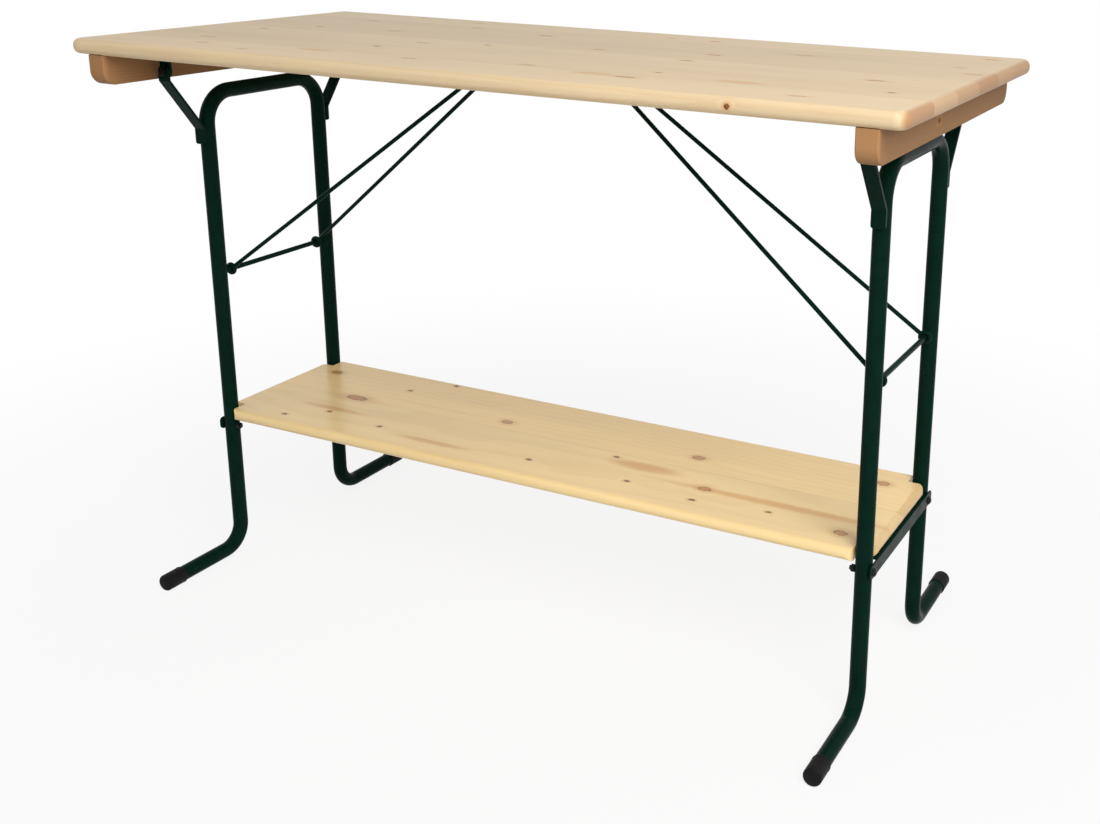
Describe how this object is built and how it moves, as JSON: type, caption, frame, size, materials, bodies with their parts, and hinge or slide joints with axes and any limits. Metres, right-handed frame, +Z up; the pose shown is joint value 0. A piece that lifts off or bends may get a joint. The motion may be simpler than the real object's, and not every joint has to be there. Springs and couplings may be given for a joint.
{
  "type": "folding bar table",
  "caption": "High folding table with a rounded wooden top on bent tube frames, rod braces that hook under the top and a lift-out wooden shelf between the legs.",
  "frame": {"origin": "on the floor under the middle of the top", "axes": "+X along the table to the right, +Y across it to the rear, +Z up"},
  "size_m": [1.6, 0.75, 1.1],
  "materials": {
    "spruce": "clear varnish, satin",
    "pine": "clear varnish, glossy",
    "beech": "clear varnish, satin",
    "green_paint": "glossy dark green powder coat",
    "cap_black": "black moulded plastic",
    "black_bolt": "black coated",
    "zinc_steel": "bright zinc"
  },
  "bodies": {
    "top": {"batten_screws": "zinc_steel", "bracket_screws": "zinc_steel", "catch_screws": "zinc_steel", "left_batten": "beech", "left_catch_plate": "green_paint", "left_catch_spring": "zinc_steel", "left_front_bracket": "green_paint", "left_rear_bracket": "green_paint", "pivot_bolts": "black_bolt", "pivot_nuts": "black_bolt", "right_batten": "beech", "right_catch_plate": "green_paint", "right_catch_spring": "zinc_steel", "right_front_bracket": "green_paint", "right_rear_bracket": "green_paint", "tabletop": "spruce"},
    "left_frame": {"left_crossbar": "green_paint", "left_front_foot_cap": "cap_black", "left_front_strap": "green_paint", "left_leg_frame": "green_paint", "left_rear_foot_cap": "cap_black", "left_rear_strap": "green_paint"},
    "left_brace": {"left_brace": "green_paint"},
    "left_rail": {"left_shelf_rail": "green_paint", "left_rail_bolts": "black_bolt", "left_rail_nuts": "black_bolt"},
    "right_frame": {"right_crossbar": "green_paint", "right_front_foot_cap": "cap_black", "right_front_strap": "green_paint", "right_leg_frame": "green_paint", "right_rear_foot_cap": "cap_black", "right_rear_strap": "green_paint"},
    "right_brace": {"right_brace": "green_paint"},
    "right_rail": {"right_shelf_rail": "green_paint", "right_rail_bolts": "black_bolt", "right_rail_nuts": "black_bolt"},
    "shelf": {"shelf_board": "pine"}
  },
  "joints": [
    {"name": "left_fold", "type": "hinge", "parent": "top", "child": "left_frame", "pos_m": [-0.7, 0, 1.0325], "axis": [0, -1, 0], "range_deg": [0, 90]},
    {"name": "right_fold", "type": "hinge", "parent": "top", "child": "right_frame", "pos_m": [0.7, 0, 1.0325], "axis": [0, 1, 0], "range_deg": [0, 82]},
    {"name": "left_brace_fold", "type": "hinge", "parent": "left_frame", "child": "left_brace", "pos_m": [-0.7, 0, 0.617], "axis": [0, -1, 0], "range_deg": [-152, 0]},
    {"name": "right_brace_fold", "type": "hinge", "parent": "right_frame", "child": "right_brace", "pos_m": [0.7, 0, 0.617], "axis": [0, 1, 0], "range_deg": [-152, 0]},
    {"name": "left_rail_off", "type": "slide", "parent": "top", "child": "left_rail", "axis": [0, -1, 0], "range_m": [0, 3.95]},
    {"name": "right_rail_off", "type": "slide", "parent": "top", "child": "right_rail", "axis": [0, 1, 0], "range_m": [0, 0.5]},
    {"name": "shelf_off", "type": "slide", "parent": "left_rail", "child": "shelf", "axis": [0, 1, 0], "range_m": [0, 3.95]}
  ],
  "couplings": [
    {"joint": "left_brace_fold", "follows": "left_fold", "ratio": -1.6889},
    {"joint": "right_brace_fold", "follows": "right_fold", "ratio": -1.8537},
    {"joint": "left_rail_off", "follows": "left_fold", "m_per_rad": 2.5146},
    {"joint": "right_rail_off", "follows": "right_fold", "m_per_rad": 0.34936},
    {"joint": "shelf_off", "follows": "right_fold", "m_per_rad": 2.76}
  ]
}
